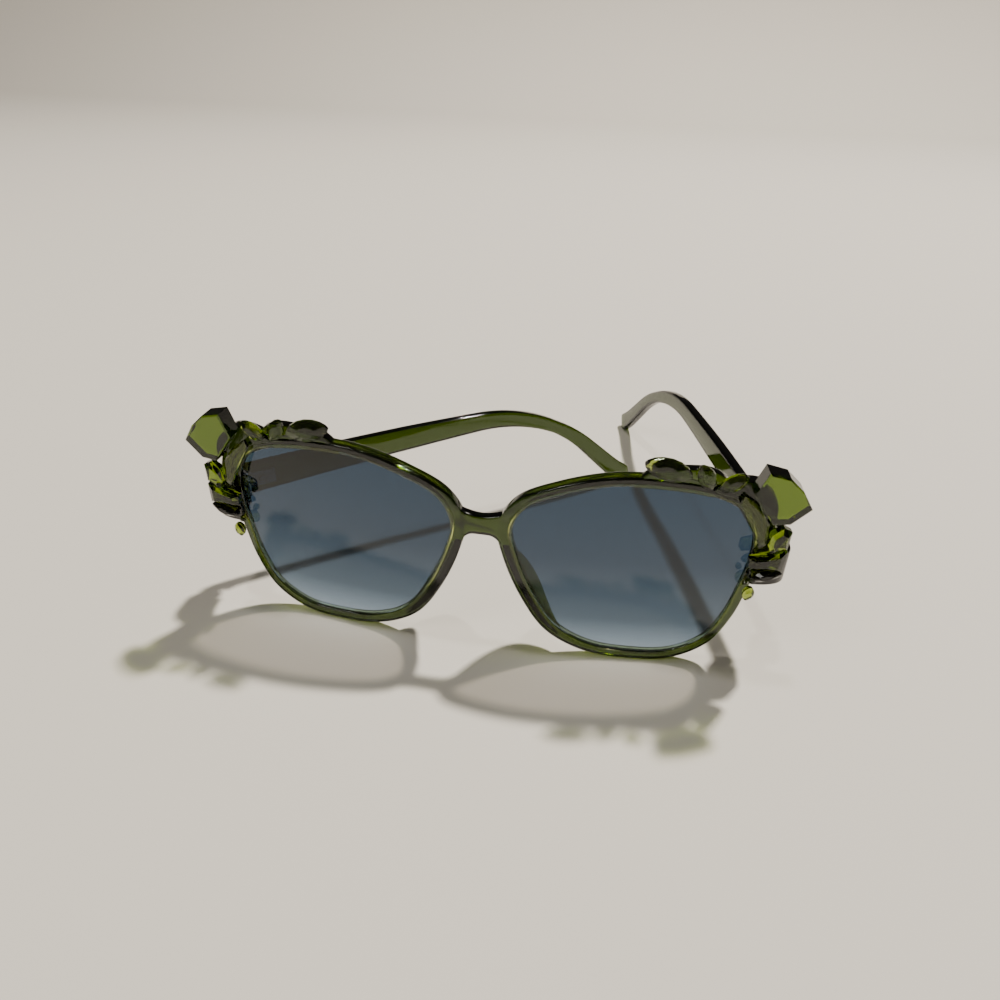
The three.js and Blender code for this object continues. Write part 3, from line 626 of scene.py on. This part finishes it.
def add_stones():
    made = []
    specs = {k: dict(v, at=(0, 0)) for k, v in CUT_STONES.items()}
    for k, v in LEAF_STONES.items():
        outline = marquise(v["length"], v["width"], v["slope"])
        specs[k] = dict(v, outline=outline, crown=v["thick"] * LEAF_CROWN, **LEAF_CUT)
    for key, s in specs.items():
        cut = [s[part] for part in ("outline", "thick", "table", "crown", "back", "girdle")]
        obj, middle = stone(f"gem_{key}_right", *cut)
        x = CORNER[0] + s["at"][0] + middle[0]
        z = CORNER[1] + s["at"][1] + middle[1]
        y = front_point(x, -s["seat"] - s["thick"] / 2, z)[1]
        turn = Matrix.Rotation(rad(s["lean"]), 4, "X") @ Matrix.Rotation(rad(s["turn"]), 4, "Z")
        obj.data.transform(Matrix.Translation((x, y, z)) @ turn)
        left = mirrored(obj, f"gem_{key}_left")
        made += [(place(obj), key, "right"), (place(left), key, "left")]
    return made


# ---- Materials ------------------------------------------------------------------------------


def new_material(name):
    mat = bpy.data.materials.new(name)
    mat.use_nodes = True
    tree = mat.node_tree
    shader = tree.nodes["Principled BSDF"]
    return mat, tree, shader


def node(tree, kind, **values):
    made = tree.nodes.new(kind)
    for key, value in values.items():
        made.inputs[key.replace("_", " ")].default_value = value
    return made


def surface_wear(tree, shader, low, high, scale, bump=0.0):
    """Roughness that varies slowly over the surface, and a very fine unevenness."""
    coords = tree.nodes.new("ShaderNodeTexCoord")
    noise = node(tree, "ShaderNodeTexNoise", Scale=scale, Detail=4.0, Roughness=0.6)
    tree.links.new(coords.outputs["Object"], noise.inputs["Vector"])
    spread = node(tree, "ShaderNodeMapRange", From_Min=0.3, From_Max=0.7, To_Min=low, To_Max=high)
    tree.links.new(noise.outputs["Fac"], spread.inputs["Value"])
    tree.links.new(spread.outputs["Result"], shader.inputs["Roughness"])
    if bump:
        fine = node(tree, "ShaderNodeTexNoise", Scale=scale * 6, Detail=2.0)
        tree.links.new(coords.outputs["Object"], fine.inputs["Vector"])
        dent = node(tree, "ShaderNodeBump", Strength=bump, Distance=0.0001)
        tree.links.new(fine.outputs["Fac"], dent.inputs["Height"])
        tree.links.new(dent.outputs["Normal"], shader.inputs["Normal"])
    return coords


def let_lamps_through(tree, shader, colour):
    """Lamps shine through the piece with this colour instead of casting a black shadow."""
    out = tree.nodes["Material Output"]
    path = tree.nodes.new("ShaderNodeLightPath")
    clear = node(tree, "ShaderNodeBsdfTransparent", Color=colour)
    mix = tree.nodes.new("ShaderNodeMixShader")
    tree.links.new(path.outputs["Is Shadow Ray"], mix.inputs["Fac"])
    tree.links.new(shader.outputs["BSDF"], mix.inputs[1])
    tree.links.new(clear.outputs["BSDF"], mix.inputs[2])
    tree.links.new(mix.outputs["Shader"], out.inputs["Surface"])


def clear_resin(name, colour, density, roughness, shadow):
    """A see-through solid that takes its colour from the depth that light travels in it."""
    mat, tree, shader = new_material(name)
    shader.inputs["Base Color"].default_value = (1, 1, 1, 1)
    shader.inputs["Transmission Weight"].default_value = 1.0
    shader.inputs["IOR"].default_value = 1.5
    shader.inputs["Specular IOR Level"].default_value = 0.3
    surface_wear(tree, shader, roughness, roughness + 0.05, 90.0, 0.02)
    absorb = node(tree, "ShaderNodeVolumeAbsorption", Color=(*colour, 1), Density=density)
    tree.links.new(absorb.outputs["Volume"], tree.nodes["Material Output"].inputs["Volume"])
    let_lamps_through(tree, shader, (*shadow, 1))
    return mat


TINT_BOTTOM, TINT_TOP = (0.25, 0.335, 0.45, 1), (0.02, 0.045, 0.085, 1)
TINT_BETWEEN = ((0.2, (0.085, 0.125, 0.18, 1)), (0.55, (0.033, 0.058, 0.1, 1)))


def lens_glass():
    mat, tree, shader = new_material("lens_gradient_tint")
    shader.inputs["Transmission Weight"].default_value = 1.0
    shader.inputs["IOR"].default_value = 1.45
    shader.inputs["Specular IOR Level"].default_value = 0.25
    coords = surface_wear(tree, shader, 0.0, 0.02, 60.0)
    low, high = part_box("lens_right")
    split = tree.nodes.new("ShaderNodeSeparateXYZ")
    tree.links.new(coords.outputs["Object"], split.inputs["Vector"])
    share = node(tree, "ShaderNodeMapRange", From_Min=low.z, From_Max=high.z)
    tree.links.new(split.outputs["Z"], share.inputs["Value"])
    ramp = tree.nodes.new("ShaderNodeValToRGB")
    ramp.color_ramp.elements[0].color = TINT_BOTTOM
    ramp.color_ramp.elements[1].color = TINT_TOP
    for at, colour in TINT_BETWEEN:
        ramp.color_ramp.elements.new(at).color = colour
    tree.links.new(share.outputs["Result"], ramp.inputs["Fac"])
    tree.links.new(ramp.outputs["Color"], shader.inputs["Base Color"])
    let_lamps_through(tree, shader, (0.52, 0.5, 0.47, 1))
    return mat


def steel():
    mat, tree, shader = new_material("hinge_steel")
    shader.inputs["Base Color"].default_value = (0.55, 0.54, 0.52, 1)
    shader.inputs["Metallic"].default_value = 1.0
    surface_wear(tree, shader, 0.22, 0.4, 900.0, 0.15)
    return mat


def plain_floor():
    mat, _, shader = new_material("floor_plain")
    shader.inputs["Base Color"].default_value = (0.64, 0.6, 0.53, 1)
    shader.inputs["Roughness"].default_value = 0.75
    shader.inputs["Specular IOR Level"].default_value = 0.2
    return mat


# ---- Assembly --------------------------------------------------------------------------------


def finish_piece(obj, body, replaced, material):
    obj.data.materials.clear()
    obj.data.materials.append(material)
    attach(obj, body)
    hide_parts(replaced)


OLIVE = (0.6, 0.67, 0.04)
plastic = clear_resin("frame_plastic_olive", OLIVE, 2600.0, 0.02, (0.45, 0.45, 0.42))
# The front moulding is the same olive plastic as the temples. Its higher density is painted
# shade: it makes the rims darker, as they sit darker in shade.
front_plastic_painted_shade = clear_resin("front_plastic_olive", OLIVE, 3000.0, 0.015, (0.4, 0.4, 0.38))
resin = clear_resin("stone_resin_olive", (0.617, 0.7, 0.03), 1250.0, 0.01, (0.7, 0.7, 0.66))
leaf_resin = clear_resin("stone_resin_deep_olive", (0.6, 0.68, 0.04), 1500.0, 0.01,
                         (0.6, 0.6, 0.56))
dark_resin = clear_resin("stone_resin_dark", (0.5, 0.55, 0.02), 2600.0, 0.01, (0.4, 0.4, 0.38))
tint = lens_glass()
metal = steel()

moulding = frame_moulding()
shade(moulding, 38)
finish_piece(moulding, "front", "frame_front", front_plastic_painted_shade)

pane = lens()
other = mirrored(pane, "lens_pane_left")
finish_piece(pane, "front", "lens_right", tint)
finish_piece(other, "front", "lens_left", tint)

for arm, side in zip(place_temples(), ("right", "left")):
    finish_piece(arm, f"temple_{side}", f"temple_{side}", plastic)

deep = dict.fromkeys(("large_leaf", "small_leaf"), ("leaf_stone_resin", leaf_resin))
dark = dict.fromkeys(("marquise", "link"), ("dark_stone_resin", dark_resin))
stone_looks = {**deep, **dark}
for gem, key, side in add_stones():
    slot, material = stone_looks.get(key, ("stone_resin", resin))
    finish_piece(gem, "front", f"stone_{key}_{side}", material)

for name, obj in frame["nodes"].items():
    if name.startswith("hinge"):
        obj.data.materials.clear()
        obj.data.materials.append(metal)

# ---- Stage, lights and camera ------------------------------------------------------------------

FLOOR_GAP = 0.0001
SENSOR_WIDTH = 36
CAMERA_AT = Vector((27.89, -152.83, 140.75)) * MM + SHIFT
CAMERA_YAW, CAMERA_PITCH, CAMERA_ROLL = rad(-8.82), rad(31.45), rad(2.03)
FOCAL_SHARE = 0.7661   # the focal length as a share of the image's width
# name: place in metres, size in metres, watts, colour
LIGHTS = {
    "key": ((0.6, 0.8, 2.2), 0.14, 100, (1.0, 0.95, 0.88)),
    "fill": ((-1.4, -1.6, 2.2), 1.0, 16, (1.0, 0.97, 0.94)),
    "top": ((-0.3, -0.2, 2.4), 0.14, 12, (1.0, 0.96, 0.9)),
}
WORLD_COLOUR = (0.06, 0.055, 0.048, 1)


def add_floor():
    """A level floor that curves up into a low backdrop far behind, in metres."""
    near, far, rise, half_width, steps = -3.0, 1.4, 0.3, 4, 12
    profile = [(near, 0.0)]
    for i in range(steps + 1):
        a = math.pi / 2 * i / steps
        profile.append((far + rise * math.sin(a), rise * (1 - math.cos(a))))
    verts = [(x, y, z) for y, z in profile for x in (-half_width, half_width)]
    faces = [(2 * i, 2 * i + 1, 2 * i + 3, 2 * i + 2) for i in range(len(profile) - 1)]
    obj = make_object("floor", verts, faces)
    obj.data.materials.append(plain_floor())
    obj.location.z = cad_box[0][2] - FLOOR_GAP


def area_light(name, at, size, power, colour):
    """A square lamp aimed at the middle of the frame."""
    data = bpy.data.lights.new(name, "AREA")
    data.size = size
    data.energy = power
    data.color = colour
    obj = bpy.data.objects.new(name, data)
    obj.location = at
    obj.rotation_euler = (-Vector(at)).to_track_quat("-Z", "Y").to_euler()
    bpy.context.scene.collection.objects.link(obj)


def add_camera(at, yaw, pitch, roll, focal_share):
    """Positive yaw turns the camera to the right, positive pitch down."""
    level_reach = math.cos(pitch)
    ahead = Vector((math.sin(yaw) * level_reach, math.cos(yaw) * level_reach, -math.sin(pitch)))
    level = Vector((math.cos(yaw), -math.sin(yaw), 0))
    upright = level.cross(ahead)
    side = level * math.cos(roll) + upright * math.sin(roll)
    top = upright * math.cos(roll) - level * math.sin(roll)
    data = bpy.data.cameras.new("camera")
    data.sensor_width = SENSOR_WIDTH
    data.lens = SENSOR_WIDTH * focal_share
    obj = bpy.data.objects.new("camera", data)
    turn = Matrix((side, top, -ahead)).transposed().to_4x4()
    obj.matrix_world = Matrix.Translation(at) @ turn
    bpy.context.scene.collection.objects.link(obj)
    bpy.context.scene.camera = obj


add_floor()
for name, (at, size, power, colour) in LIGHTS.items():
    area_light(name, at, size, power, colour)
world = bpy.data.worlds.new("studio")
world.use_nodes = True
world.node_tree.nodes["Background"].inputs["Color"].default_value = WORLD_COLOUR
world.node_tree.nodes["Background"].inputs["Strength"].default_value = 1.0
bpy.context.scene.world = world
add_camera(CAMERA_AT, CAMERA_YAW, CAMERA_PITCH, CAMERA_ROLL, FOCAL_SHARE)
